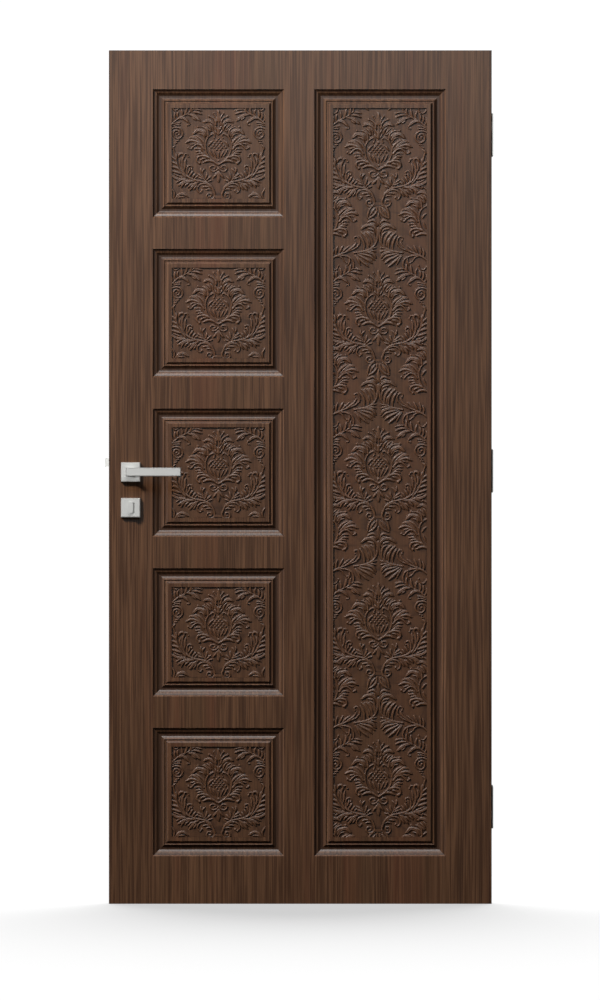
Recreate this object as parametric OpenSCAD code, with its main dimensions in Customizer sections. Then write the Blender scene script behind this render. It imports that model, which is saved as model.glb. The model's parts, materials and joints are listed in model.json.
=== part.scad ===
// Carved panel door leaf with a lever lock, a privacy turn and three butt hinges.
// Frame: X across the leaf, -Y is the carved front, Z up, origin under the middle of the leaf.

/* [Leaf] */
// Width of the leaf over its lippings
leaf_w = 915; // [880:1:960]
// Height of the leaf
leaf_h = 2040; // [2000:1:2100]
// Thickness of each moulded skin
skin_t = 10; // [9.5:0.5:14]
// Thickness of the core between the skins
core_t = 20; // [20:1:30]
// Thickness of the lipping on each long edge
lipping_t = 5; // [4:0.5:8]
// Radius of the eased corners of the lippings
edge_round = 2; // [0.5:0.5:3]
// Width of the stiles inside the core
stile_w = 110; // [100:1:140]
// Height of the rails inside the core
rail_h = 100; // [60:1:140]

/* [Panel layout] */
// From the lock edge to the square panels
lock_margin = 105; // [95:1:115]
// From the tall panel to the hinge edge
hinge_margin = 110; // [100:1:120]
// Plain strip between the two columns of panels
mullion_w = 72; // [60:1:85]
// From the top edge to the panels
top_margin = 93; // [80:1:120]
// From the bottom edge to the panels
bottom_margin = 114; // [100:1:140]
// Plain strip between two square panels
cross_w = 75; // [60:1:90]
// Square panels in the column beside the lock
square_count = 5; // [3:1:5]

/* [Moulding] */
// Width of the sharp step at the outer edge
quirk_w = 3.5; // [2:0.5:5]
// Width of the fillet behind the step
fillet_w = 5.5; // [3:0.5:7]
// Width of the hollow that falls to the floor
scotia_w = 6.5; // [4:0.5:8]
// Width of the flat floor
floor_w = 4.5; // [3:0.5:7]
// Width of the hollow that rises from the floor
cove_w = 7.5; // [5:0.5:9]
// Width of the small groove
groove_w = 3.5; // [2:0.5:5]
// Width of the bevel up to the rim
bevel_w = 5; // [3:0.5:7]
// Width of the flat rim around the field
rim_w = 9; // [6:0.5:12]
// Depth of the fillet below the face, at its outer edge
fillet_depth = 3; // [1.5:0.5:3.5]
// How much the fillet falls towards the floor
fillet_fall = 1.5; // [0.5:0.5:2]
// Depth of the floor below the face
floor_depth = 8; // [6.5:0.5:8]
// Depth of the top of the hollow
cove_depth = 3.5; // [3:0.5:4]
// Depth of the small groove
groove_depth = 5; // [4.5:0.5:6]
// Depth of the rim below the face
rim_depth = 1.5; // [1:0.5:2]

/* [Carved boards] */
// Depth of the pocket that holds a carved board
pocket_depth = 8; // [7.5:0.5:8.5]
// Thickness of a carved board under its relief
board_t = 3.5; // [3:0.5:4]
// Gap around a carved board in its pocket
board_clear = 0.3; // [0.1:0.1:0.6]
// Height of the relief above its board
relief_h = 2.6; // [1.5:0.1:3]
// Height of one repeat of the carved pattern
repeat_h = 374.6; // [360:0.1:390]
// From the top of the tall field to the first palmette's foot
tall_foot = 149; // [130:1:170]
// From the centre of a square field down to its palmette's foot
square_foot = 28; // [0:1:40]
// Width of the pattern on a square, as a share of that on the tall panel
square_wide = 0.97; // [0.9:0.01:1]
// Height of the pattern on a square, as a share of that on the tall panel
square_high = 0.956; // [0.9:0.002:1]

/* [Lock] */
// From the lock edge to the spindle
backset = 52; // [50:1:60]
// Height of the lever spindle above the bottom edge
spindle_z = 1032; // [950:1:1100]
// From the lever spindle down to the privacy turn
turn_drop = 85; // [80:1:95]
// Outer thickness of the lock case
case_t = 14; // [13:0.5:16]
// Wall of the lock case
case_wall = 2; // [1.5:0.5:2]
// Depth of the lock case behind the forend
case_depth = 85; // [84:1:92]
// Lock case above the spindle
case_up = 45; // [42:1:60]
// Lock case below the privacy turn
case_down = 30; // [20:1:40]
// Thickness of the forend plate
forend_t = 3; // [2:0.5:3]
// Width of the forend plate
forend_w = 20; // [18:1:24]
// Forend plate beyond the case at each end
forend_over = 37; // [20:1:45]
// How far the latch stands out at rest
latch_out = 10; // [8:0.5:11]
// Height of the latch head
latch_h = 20; // [16:1:22]
// Height of the dead bolt head
bolt_h = 20; // [16:1:22]
// Radius of the follower arm, to the middle of its tip
arm_r = 17.5; // [17:0.1:18]
// Radius of the cam arm, to the middle of its tip
cam_r = 10; // [9.5:0.1:10.5]

/* [Lever and roses] */
// Side of the square spindle of the levers
spindle_side = 8; // [7:0.5:9]
// Side of the square spindle of the privacy turn
turn_side = 5; // [4:0.5:5]
// Side of a square rose
rose_side = 46; // [44:1:52]
// How far a rose stands out
rose_t = 9; // [8:0.5:12]
// Wall of a rose cover
rose_wall = 1.5; // [1:0.25:2]
// Height of the lever's square stock
lever_h = 20.5; // [18:0.5:24]
// Length of the lever from its spindle to its end
lever_reach = 121; // [100:1:130]
// Thickness of the lever's bar
lever_t = 11; // [9:0.5:14]
// Space for fingers between the leaf and the bar
lever_gap = 42; // [38:1:55]
// Chamfer along the lever and the roses
bright_edge = 1.8; // [0.5:0.1:2.5]
// Width of the thumb turn
thumb_w = 12; // [10:0.5:14]
// Height of the thumb turn
thumb_h = 26; // [22:1:30]
// Radius of the thumb turn's corners
thumb_round = 3; // [1:0.5:4]
// How far the thumb turn stands out of its rose
thumb_out = 9; // [8:1:24]

/* [Hinges] */
// Height of a hinge
hinge_h = 100; // [90:1:120]
// Width of a hinge plate across the edge
hinge_w = 30; // [28:1:34]
// Thickness of a hinge plate
hinge_t = 2.5; // [2:0.25:3]
// Radius of the hinge barrel
barrel_r = 5; // [4.5:0.25:6]
// Radius of the hinge pin
pin_r = 2.5; // [2:0.25:3]
// Gap between the leaf and the frame-side plates
hinge_gap = 1.5; // [1:0.25:3]
// From the top edge to the middle of the upper hinge
hinge_top = 200; // [150:1:300]
// From the bottom edge to the middle of the lower hinge
hinge_bottom = 230; // [150:1:300]

/* [Clearances] */
// Running clearance of a round shaft in its bore
run_clear = 0.05; // [0.02:0.01:0.09]
// Clearance beside sliding and seated pieces
slide_clear = 0.25; // [0.1:0.05:0.4]
// Clearance of the lever arm's tip in the latch tail
latch_play = 0.4; // [0.3:0.05:0.6]
// Clearance of the cam arm's tip in the bolt tail
bolt_play = 0.7; // [0.6:0.05:0.9]

/* [Hidden] */
$fn = 48;
wood = "#4b3226";
core_wood = "#b08a5c";
board_brown = "#6b5238";
nickel = "#c4c3be";
steel = "#a9a9a6";
spring_steel = "#8f9092";

eps = 0.01;
leaf_t = core_t + 2 * skin_t;
face_y = leaf_t / 2;
core_y = core_t / 2;
lock_x = -leaf_w / 2;
hinge_x = leaf_w / 2;
skin_w = leaf_w - 2 * lipping_t;
spindle_x = lock_x + backset;
turn_z = spindle_z - turn_drop;

// Panels: the squares' column and the tall panel beside it, of one width
panel_w = (leaf_w - lock_margin - mullion_w - hinge_margin) / 2;
panel_h_all = leaf_h - top_margin - bottom_margin;
square_h = (panel_h_all - (square_count - 1) * cross_w) / square_count;
square_x = lock_x + lock_margin + panel_w / 2;
tall_x = square_x + panel_w + mullion_w;
tall_z = bottom_margin + panel_h_all / 2;
function square_z(row) = leaf_h - top_margin - square_h / 2 - row * (square_h + cross_w);
moulding_w = quirk_w + fillet_w + scotia_w + floor_w + cove_w + groove_w + bevel_w + rim_w;
field_w = panel_w - 2 * moulding_w;
square_field_h = square_h - 2 * moulding_w;
tall_field_h = panel_h_all - 2 * moulding_w;

// Moulding section: distance in from the outer edge, depth below the face
fillet_end = quirk_w + fillet_w;
scotia_end = fillet_end + scotia_w;
floor_end = scotia_end + floor_w;
cove_end = floor_end + cove_w;
groove_end = cove_end + groove_w;
bevel_end = groove_end + bevel_w;
curve_steps = 4;
scotia_depth = fillet_depth + fillet_fall;
hollow = 0.35;
function scotia(i) = let (t = i / curve_steps, fall = t + hollow * t * (1 - t))
    [fillet_end + scotia_w * t, scotia_depth + (floor_depth - scotia_depth) * fall];
function cove(i) = let (t = i / curve_steps, rise = t - hollow * t * (1 - t))
    [floor_end + cove_w * t, floor_depth - (floor_depth - cove_depth) * rise];
MOULDING = concat(
    [[0, -1], [0, 0], [quirk_w, fillet_depth]],
    [for (i = [0 : curve_steps]) scotia(i)],
    [for (i = [0 : curve_steps]) cove(i)],
    [[groove_end - groove_w / 2, groove_depth], [groove_end, groove_depth]],
    [[bevel_end, rim_depth], [moulding_w, rim_depth]]);

// Lock
case_in = case_t / 2 - case_wall;
lock_y = case_in - slide_clear;
case_x0 = lock_x + forend_t;
case_x1 = case_x0 + case_depth;
case_z0 = turn_z - case_down;
case_z1 = spindle_z + case_up;
hub_r = 9;
journal_r = 7.5;
cam_hub_r = 5.4;
cam_journal_r = 4.5;
arm_swing = 20;
cam_swing = 45;
tip_r = 3;
cam_tip_r = 2.5;
arm_w = 3.2;
cam_arm_w = 2.8;
fork_t = 4;
latch_grip = 2.5;
bolt_grip = 1;
latch_lap = 1;
bolt_lap = 2;
latch_neck = 15;
bolt_neck = 25;
latch_cap = 8;
bolt_cap = 6;
latch_nose_t = 2;
forend_screw_l = 20;
forend_screw_in = 12;
forend_z0 = case_z0 - forend_over;
forend_z1 = case_z1 + forend_over;
latch_foot = arm_r * cos(arm_swing) - latch_grip;
latch_roof = arm_r + tip_r + latch_play;
latch_z = spindle_z + latch_foot + latch_h / 2 - latch_lap;
latch_fork_x = spindle_x - arm_r * sin(arm_swing);
latch_neck_x = case_x0 + latch_neck;
latch_end_x = latch_fork_x + tip_r + latch_play + fork_t;
latch_tail_top = spindle_z + latch_roof + latch_cap;
bolt_foot = cam_r * cos(cam_swing) - bolt_grip;
bolt_roof = cam_r + cam_tip_r + bolt_play;
bolt_z = turn_z + bolt_foot + bolt_h / 2 - bolt_lap;
bolt_fork_x = spindle_x + cam_r * sin(cam_swing);
bolt_neck_x = case_x0 + bolt_neck;
bolt_end_x = bolt_fork_x + cam_tip_r + bolt_play + fork_t;
bolt_tail_top = turn_z + bolt_roof + bolt_cap;
spring_r = 3.2;
spring_wire = 0.9;
latch_spring_z = spindle_z + latch_roof + latch_cap / 2;
return_spring_z = spindle_z - arm_r * cos(arm_swing);
return_tip_x = spindle_x + arm_r * sin(arm_swing) - tip_r;

// Roses and levers
base_t = 4;
base_side = rose_side - 2 * rose_wall - 2 * slide_clear;
spigot_r = 8;
turn_spigot_r = 6;
bore_r = 10;
turn_bore_r = 8;
rose_screw_r = 1.5;
rose_screw_head = 3;
rose_screw_l = 12;
rose_screw_at = 15;
bar_y = face_y + lever_gap;
spindle_in = 20;
turn_in = 4;
spindle_half = face_y + rose_t + spindle_in;
turn_half = face_y + rose_t + turn_in;
grub_r = 2.5;
grub_y = face_y + rose_t + spindle_in / 2;
grub_sunk = 0.5;
release_out = 2;
release_slot = 2;
release_lip = 2;

// Hinges
axis_in = 1;
axis_gap = 0.5;
axis_x = hinge_x - axis_in;
axis_y = face_y + barrel_r + axis_gap;
knuckles = 5;
knuckle_h = hinge_h / knuckles;
pin_cap = 2;
hinge_screw_r = 2;
hinge_screw_head = 4;
hinge_screw_l = 25;
hole_r = 2.5;
hole_dy = 5;
hole_dz = 36;
hinge_zs = [leaf_h - hinge_top, (leaf_h - hinge_top + hinge_bottom) / 2, hinge_bottom];

// Carved pattern, right half, in millimetres from the foot of the palmette.
// Each frond is its centre line, its width and its height as a share of the relief.
PALMETTE = [
    [[[5, 90], [9, 108], [22, 119]], 7, 0.9],
    [[[12, 84], [19, 99], [34, 106]], 11, 0.9],
    [[[27, 75], [33, 89], [51, 92]], 7, 0.9],
    [[[32, 70], [42, 83], [62, 80]], 7, 0.9],
    [[[35, 49], [45, 64], [67, 70]], 7, 0.9],
    [[[38, 47], [58, 60], [78, 56]], 9, 0.9],
    [[[37, 42], [53, 50], [68, 39]], 7, 1],
    [[[31, 29], [41, 37], [55, 34]], 7, 0.9],
    [[[28, 22], [46, 22], [50, 4]], 8, 0.9],
    [[[5, 0], [20, 9], [42, 3]], 7, 1],
    [[[0, 1], [23, 20], [30, 42], [25, 68], [8, 72]], 6.5, 1],
];
BRANCH = [
    [[[2, -5], [11, -12], [21, -4]], 5, 0.9],
    [[[5, -14], [13, -27], [26, -23]], 7, 0.8],
    [[[14, -62], [22, -46], [39, -26], [35, -9]], 5, 0.8],
    [[[11, -70], [23, -52], [50, -38], [73, -22], [66, 1]], 6.5, 1],
    [[[80, -22], [91, 6], [88, 31], [73, 25]], 7.5, 0.9],
    [[[90, -18], [99, 6], [106, 42]], 7, 0.8],
    [[[84, -30], [98, -25], [115, -14]], 8, 0.9],
    [[[66, -34], [82, -36], [98, -47]], 9, 0.9],
    [[[54, -41], [66, -47], [77, -58]], 9, 0.9],
    [[[26, -55], [38, -50], [51, -50], [46, -64]], 6, 1],
    [[[11, -73], [20, -80], [28, -70]], 7, 0.9],
];
TREE = [
    [[[8, -83], [14, -99], [26, -114]], 13, 0.9],
    [[[4, -129], [13, -118], [27, -121]], 7, 0.9],
    [[[4, -150], [11, -137], [28, -130], [42, -137]], 8, 1],
    [[[3, -152], [9, -172], [27, -187], [52, -194]], 8, 0.9],
    [[[20, -172], [24, -154], [41, -142]], 9, 0.8],
    [[[98, -201], [64, -190], [45, -172], [56, -158]], 6, 1],
    [[[6, -190], [30, -196], [50, -207]], 8, 0.9],
    [[[96, -207], [74, -201], [53, -211]], 8, 0.9],
];
CORNER = [
    [[[115, 97], [90, 112], [67, 131], [58, 152]], 8, 0.9],
    [[[78, 116], [62, 119], [43, 107]], 9, 0.9],
    [[[60, 127], [45, 133], [17, 150]], 6, 0.8],
    [[[115, 91], [95, 93], [85, 77], [100, 64], [101, 80]], 6, 0.9],
];
MIDDLE = [
    [[[0, 84], [0, 112], [0, 137]], 10, 1],
    [[[0, -14], [0, -25], [0, -41]], 12, 0.9],
    [[[0, -100], [0, -116], [0, -136]], 8, 0.8],
];
side_palmette = [129, -162];
knot = [18, 6];
knot_foot = -80;
knot_share = 0.7;
sink = 0.4;

// Box given by two corners
module box(a, b) {
    translate(a) cube(b - a);
}

// Round bar along Y between two places, front to back
module round_y(x, z, r, y0, y1) {
    translate([x, y0, z]) rotate([-90, 0, 0]) cylinder(r = r, h = y1 - y0);
}

// Square bar along Y between two places
module square_y(x, z, side, y0, y1) {
    box([x - side / 2, y0, z - side / 2], [x + side / 2, y1, z + side / 2]);
}

// Moulded recess of one panel, seen from its face, with the field cut to a depth
module panel_recess(w, h, depth) {
    section = concat(MOULDING, depth > rim_depth ? [[moulding_w, depth]] : []);
    last = len(section) - 1;
    corners = [[-1, -1], [1, -1], [1, 1], [-1, 1]];
    points = [for (s = section) for (c = corners)
        [c.x * (w / 2 - s[0]), c.y * (h / 2 - s[0]), -s[1]]];
    sides = [for (i = [0 : last - 1]) for (k = [0 : 3]) let (n = (k + 1) % 4)
        [4 * i + k, 4 * i + n, 4 * i + 4 + n, 4 * i + 4 + k]];
    caps = [[3, 2, 1, 0], [4 * last, 4 * last + 1, 4 * last + 2, 4 * last + 3]];
    polyhedron(points, concat(sides, caps));
}

// All six recesses on one face; side is -1 for the front and 1 for the rear
module recesses(side, depth) {
    turn = side < 0 ? 0 : 180;
    for (row = [0 : square_count - 1])
        translate([square_x, side * face_y, square_z(row)]) rotate([90, 0, turn])
            panel_recess(panel_w, square_h, depth);
    translate([tall_x, side * face_y, tall_z]) rotate([90, 0, turn])
        panel_recess(panel_w, panel_h_all, depth);
}

// Holes for the spindle and the privacy turn between two depths
module lock_bores(y0, y1) {
    round_y(spindle_x, spindle_z, bore_r, y0, y1);
    round_y(spindle_x, turn_z, turn_bore_r, y0, y1);
}

// Places of the two screws of a rose
module rose_screw_places() {
    for (z = [spindle_z, turn_z]) for (s = [-1, 1])
        translate([spindle_x + s * rose_screw_at, 0, z + s * rose_screw_at]) children();
}

// Pilot holes for the rose screws in one skin
module rose_pilots(side) {
    rose_screw_places() rotate([side * -90, 0, 0])
        translate([0, 0, face_y - skin_t - 1])
            cylinder(r = rose_screw_r + run_clear, h = skin_t + 2);
}

module front_skin() {
    color(wood) difference() {
        box([-skin_w / 2, -face_y, 0], [skin_w / 2, -core_y, leaf_h]);
        recesses(-1, pocket_depth);
        lock_bores(-face_y - 1, -core_y + 1);
        rose_pilots(-1);
    }
}

module rear_skin() {
    color(wood) difference() {
        box([-skin_w / 2, core_y, 0], [skin_w / 2, face_y, leaf_h]);
        recesses(1, rim_depth);
        lock_bores(core_y - 1, face_y + 1);
        rose_pilots(1);
    }
}

// Space for the lock case in the lock edge
module mortise() {
    grow = slide_clear;
    box([lock_x - 1, -case_t / 2 - grow, case_z0 - grow],
        [case_x1 + grow, case_t / 2 + grow, case_z1 + grow]);
}

// Spots of the four screws of a hinge plate
module hinge_spots() {
    for (z = hinge_zs) for (y = [-hole_dy, hole_dy]) for (dz = [-hole_dz, hole_dz])
        translate([hinge_x, y, z + dz]) rotate([0, -90, 0]) children();
}

module lock_stile() {
    x0 = -skin_w / 2;
    color(core_wood) difference() {
        box([x0, -core_y, 0], [x0 + stile_w, core_y, leaf_h]);
        mortise();
        lock_bores(-core_y - 1, core_y + 1);
        forend_spots() translate([0, 0, -1])
            cylinder(r = rose_screw_r + run_clear, h = forend_screw_l + 2);
    }
}

module hinge_stile() {
    x1 = skin_w / 2;
    color(core_wood) difference() {
        box([x1 - stile_w, -core_y, 0], [x1, core_y, leaf_h]);
        hinge_spots() cylinder(r = hinge_screw_r + run_clear, h = hinge_screw_l + 1);
    }
}

// Rail of the core between the stiles
module rail(z0, z1) {
    half = skin_w / 2 - stile_w;
    color(core_wood) box([-half, -core_y, z0], [half, core_y, z1]);
}

module top_rail() {
    rail(leaf_h - rail_h, leaf_h);
}

module bottom_rail() {
    rail(0, rail_h);
}

module core_board() {
    half = skin_w / 2 - stile_w;
    color(board_brown) box([-half, -core_y, rail_h], [half, core_y, leaf_h - rail_h]);
}

// Lipping with eased outer corners; out is -1 on the lock edge and 1 on the hinge edge
module lipping(out) {
    outer = lipping_t - edge_round;
    translate([out * skin_w / 2, 0, 0]) linear_extrude(leaf_h) mirror([out < 0 ? 1 : 0, 0]) {
        translate([0, -face_y]) square([outer, leaf_t]);
        translate([0, edge_round - face_y]) square([lipping_t, leaf_t - 2 * edge_round]);
        for (s = [-1, 1]) translate([outer, s * (face_y - edge_round)]) circle(edge_round);
    }
}

// Spots of the forend screws, drilled in from the lock edge
module forend_spots() {
    for (z = [forend_z0 + forend_screw_in, forend_z1 - forend_screw_in])
        translate([lock_x, 0, z]) rotate([0, 90, 0]) children();
}

module lock_lipping() {
    color(wood) difference() {
        lipping(-1);
        mortise();
        box([lock_x - 1, -forend_w / 2 - slide_clear, forend_z0 - slide_clear],
            [lock_x + forend_t, forend_w / 2 + slide_clear, forend_z1 + slide_clear]);
        forend_spots() cylinder(r = rose_screw_r + run_clear, h = lipping_t + 1);
    }
}

module hinge_lipping() {
    color(wood) difference() {
        lipping(1);
        for (z = hinge_zs)
            box([hinge_x - hinge_t, face_y - hinge_w - slide_clear, z - hinge_h / 2 - slide_clear],
                [hinge_x + 1, face_y + 1, z + hinge_h / 2 + slide_clear]);
        hinge_spots() cylinder(r = hinge_screw_r + run_clear, h = lipping_t + 1);
    }
}

// Swell of a frond along its length, from 0 at the root to 1 in the middle and 0 at the tip
function swell(t) = pow(sin(180 * t), 0.4);
function frond_dir(p, i) = let (d = p[i + 1] - p[i - 1]) d / norm(d);

// One carved frond: a ridge along a line of points, pointed at both ends and standing on the board
module frond(points, w, h) {
    last = len(points) - 1;
    inner = [for (i = [1 : last - 1]) let (d = frond_dir(points, i), f = swell(i / last), a = f * w / 2)
        each [[points[i].x - a * d.y, points[i].y + a * d.x, -sink],
              [points[i].x, points[i].y, f * h],
              [points[i].x + a * d.y, points[i].y - a * d.x, -sink]]];
    root = len(inner);
    tip = root + 1;
    end = root - 3;
    walls = [for (i = [1 : 1 : last - 2]) let (a = 3 * i - 3, b = a + 3)
        each [[a, b, b + 1, a + 1], [a + 2, a + 1, b + 1, b + 2], [a, a + 2, b + 2, b]]];
    ends = [[root, 0, 1], [root, 1, 2], [root, 2, 0],
        [end, tip, end + 1], [end + 2, end + 1, tip], [end, end + 2, tip]];
    polyhedron(concat(inner, [[each points[0], -sink], [each points[last], -sink]]), concat(walls, ends));
}

module fronds(list) {
    for (f = list) frond(f[0], f[1], f[2] * relief_h);
}

// Right half of one repeat of the pattern
module half_repeat() {
    fronds(PALMETTE);
    fronds(BRANCH);
    fronds(TREE);
    fronds(CORNER);
    translate(side_palmette) mirror([1, 0, 0]) fronds(PALMETTE);
}

// One whole repeat: two mirrored halves and what stands on their axis
module repeat() {
    half_repeat();
    mirror([1, 0, 0]) half_repeat();
    fronds(MIDDLE);
    translate([-knot.x / 2, knot_foot, -sink]) cube([knot.x, knot.y, sink + relief_h * knot_share]);
}

// Carved board of a field, with the feet of its palmettes at the given heights and its pattern scaled
module carved_board(x, z, h, feet, share) {
    w = field_w - 2 * board_clear;
    high = h - 2 * board_clear;
    color(wood) translate([x, pocket_depth - face_y, z]) rotate([90, 0, 0])
        resize([w, high, board_t + relief_h]) intersection() {
            union() {
                translate([-w / 2, -high / 2, 0]) cube([w, high, board_t]);
                for (f = feet) translate([0, f, board_t]) scale([share.x, share.y, 1]) repeat();
            }
            translate([-w / 2, -high / 2, 0]) cube([w, high, board_t + relief_h]);
        }
}

module carved_square(row) {
    carved_board(square_x, square_z(row), square_field_h, [-square_foot], [square_wide, square_high]);
}

module carved_panel_1() {
    carved_square(0);
}

module carved_panel_2() {
    carved_square(1);
}

module carved_panel_3() {
    carved_square(2);
}

module carved_panel_4() {
    carved_square(3);
}

module carved_panel_5() {
    carved_square(4);
}

module carved_panel_tall() {
    first = tall_field_h / 2 - tall_foot;
    count = floor((tall_field_h - tall_foot) / repeat_h);
    carved_board(tall_x, tall_z, tall_field_h, [for (i = [0 : count]) first - i * repeat_h], [1, 1]);
}

// Round openings of the lock case for the follower and the cam
module case_bores() {
    round_y(spindle_x, spindle_z, journal_r + run_clear, -case_t, case_t);
    round_y(spindle_x, turn_z, cam_journal_r + run_clear, -case_t, case_t);
}

// Opening for the head of the latch or the bolt
module head_opening(z, h) {
    grow = slide_clear;
    box([lock_x - 1, -lock_y - grow / 2, z - h / 2 - grow],
        [case_x0 + case_wall + 1, lock_y + grow / 2, z + h / 2 + grow]);
}

module lock_case() {
    color(steel) difference() {
        box([case_x0, -case_t / 2, case_z0], [case_x1, case_in, case_z1]);
        box([case_x0 + case_wall, -case_in, case_z0 + case_wall],
            [case_x1 - case_wall, case_t, case_z1 - case_wall]);
        head_opening(latch_z, latch_h);
        head_opening(bolt_z, bolt_h);
        case_bores();
    }
}

module lock_cover() {
    color(steel) difference() {
        box([case_x0, case_in, case_z0], [case_x1, case_t / 2, case_z1]);
        case_bores();
    }
}

// Countersunk screw along +Z from its flat head
module screw(r, head_r, length) {
    rotate_extrude() polygon([[0, 0], [head_r, 0], [r, head_r - r], [r, length - r], [0, length]]);
}

// Seat for the countersunk head of a screw, and its way through a plate
module screw_seat(r, head_r, t) {
    c = run_clear;
    rotate_extrude() polygon([[0, -1], [head_r + c, -1], [head_r + c, 0], [r + c, head_r - r],
        [r + c, t + 1], [0, t + 1]]);
}

module forend_plate() {
    color(nickel) difference() {
        box([lock_x, -forend_w / 2, forend_z0], [lock_x + forend_t, forend_w / 2, forend_z1]);
        head_opening(latch_z, latch_h);
        head_opening(bolt_z, bolt_h);
        forend_spots() screw_seat(rose_screw_r, rose_screw_head, forend_t);
    }
}

module forend_screws() {
    color(nickel) forend_spots() screw(rose_screw_r, rose_screw_head, forend_screw_l);
}

// Tail with a fork for an arm's tip; z0 is the fork's foot, roof the top of its slot
module forked_tail(x0, x1, slot_x, slot_half, z0, roof, z1) {
    difference() {
        box([x0, -lock_y, z0], [x1, lock_y, z1]);
        box([slot_x - slot_half, -lock_y - 1, z0 - 1], [slot_x + slot_half, lock_y + 1, roof]);
    }
}

// Latch: a head bevelled on its closing side, and a tail forked over the follower's arm
module latch_bolt() {
    nose = lock_x - latch_out;
    z0 = latch_z - latch_h / 2;
    color(nickel) {
        translate([0, 0, z0]) linear_extrude(latch_h)
            polygon([[nose, lock_y], [nose, lock_y - latch_nose_t], [lock_x, -lock_y],
                [latch_neck_x, -lock_y], [latch_neck_x, lock_y]]);
        forked_tail(latch_neck_x - eps, latch_end_x, latch_fork_x, tip_r + latch_play,
            spindle_z + latch_foot, spindle_z + latch_roof, latch_tail_top);
    }
}

module dead_bolt() {
    z0 = bolt_z - bolt_h / 2;
    color(nickel) {
        box([lock_x, -lock_y, z0], [bolt_neck_x, lock_y, z0 + bolt_h]);
        forked_tail(bolt_neck_x - eps, bolt_end_x, bolt_fork_x, cam_tip_r + bolt_play,
            turn_z + bolt_foot, turn_z + bolt_roof, bolt_tail_top);
    }
}

// Flat outline of an arm from a hub to its round tip; the angle is from straight up, towards +X
module arm(r, w, tip, angle) {
    rotate(-angle) {
        translate([-w / 2, 0]) square([w, r]);
        translate([0, r]) circle(tip);
    }
}

// Plate between the walls of the case, cut to the outline given
module lock_plate() {
    rotate([90, 0, 0]) linear_extrude(2 * lock_y, center = true) children();
}

// Round journals in both walls of the case, on either side of the plate
module journals(r) {
    round_y(0, 0, r, -case_t / 2, -lock_y);
    round_y(0, 0, r, lock_y, case_t / 2);
}

module lever_follower() {
    color(steel) translate([spindle_x, 0, spindle_z]) difference() {
        union() {
            lock_plate() union() {
                circle(hub_r);
                arm(arm_r, arm_w, tip_r, -arm_swing);
                arm(arm_r, arm_w, tip_r, 180 - arm_swing);
            }
            journals(journal_r);
        }
        square_y(0, 0, spindle_side + 2 * run_clear, -case_t, case_t);
    }
}

module bolt_cam() {
    color(steel) translate([spindle_x, 0, turn_z]) difference() {
        union() {
            lock_plate() union() {
                circle(cam_hub_r);
                arm(cam_r, cam_arm_w, cam_tip_r, cam_swing);
            }
            journals(cam_journal_r);
        }
        square_y(0, 0, turn_side + 2 * run_clear, -case_t, case_t);
    }
}

// Coil spring along +X from x0 to x1, as a wire swept along a helix with closed ends
module coil(x0, x1, z, turns) {
    steps = 8 * turns;
    sides = 4;
    rise = (x1 - x0 - spring_wire) / steps;
    ring = [for (i = [0 : steps]) let (a = 45 * i, x = x0 + spring_wire / 2 + rise * i)
        each [for (k = [0 : sides - 1]) let (b = 90 * k, r = spring_r + spring_wire / 2 * cos(b))
            [x + spring_wire / 2 * sin(b), r * cos(a), z + r * sin(a)]]];
    skin = [for (i = [0 : steps - 1]) for (k = [0 : sides - 1])
        let (n = (k + 1) % sides, a = sides * i, b = a + sides) each
            [[a + k, a + n, b + n], [a + k, b + n, b + k]]];
    ends = [[for (k = [sides - 1 : -1 : 0]) k], [for (k = [0 : sides - 1]) sides * steps + k]];
    polyhedron(ring, concat(skin, ends));
}

module latch_spring() {
    color(spring_steel)
        coil(latch_end_x + slide_clear, case_x1 - case_wall - slide_clear, latch_spring_z, 8);
}

module return_spring() {
    color(spring_steel)
        coil(case_x0 + case_wall + slide_clear, return_tip_x - slide_clear, return_spring_z, 10);
}

module lever_spindle() {
    color(steel) square_y(spindle_x, spindle_z, spindle_side, -spindle_half, spindle_half);
}

module turn_spindle() {
    color(steel) square_y(spindle_x, turn_z, turn_side, -turn_half, face_y + rose_t - slide_clear);
}

// Block with its outer edges chamfered; the far face is at +Z
module chamfered(w, h, t, c) {
    hull() {
        translate([-w / 2, -h / 2, 0]) cube([w, h, t - c]);
        translate([c - w / 2, c - h / 2, 0]) cube([w - 2 * c, h - 2 * c, t]);
    }
}

// Lever of square stock: neck, bar and round spigot; side is -1 in front and 1 behind
module lever(side) {
    neck0 = face_y + rose_t + slide_clear;
    color(nickel) translate([spindle_x, 0, spindle_z]) mirror([0, side > 0 ? 1 : 0, 0]) difference() {
        union() {
            translate([(lever_reach - lever_h / 2) / 2, -bar_y, 0]) rotate([90, 0, 0])
                chamfered(lever_reach + lever_h / 2, lever_h, lever_t, bright_edge);
            square_y(0, 0, lever_h, -bar_y - lever_t / 2, -neck0);
            round_y(0, 0, spigot_r, -neck0 - 1, -face_y - slide_clear);
        }
        square_y(0, 0, spindle_side + 2 * run_clear, -spindle_half - 1, 0);
        translate([0, -grub_y, -lever_h]) cylinder(r = grub_r + run_clear, h = lever_h);
    }
}

module front_lever() {
    lever(-1);
}

module rear_lever() {
    lever(1);
}

// Grub screw under the neck, bearing on the spindle
module grub(side) {
    color(steel) translate([spindle_x, side * grub_y, spindle_z - lever_h / 2 + grub_sunk])
        cylinder(r = grub_r, h = lever_h / 2 - grub_sunk - spindle_side / 2);
}

module front_grub_screw() {
    grub(-1);
}

module rear_grub_screw() {
    grub(1);
}

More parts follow.
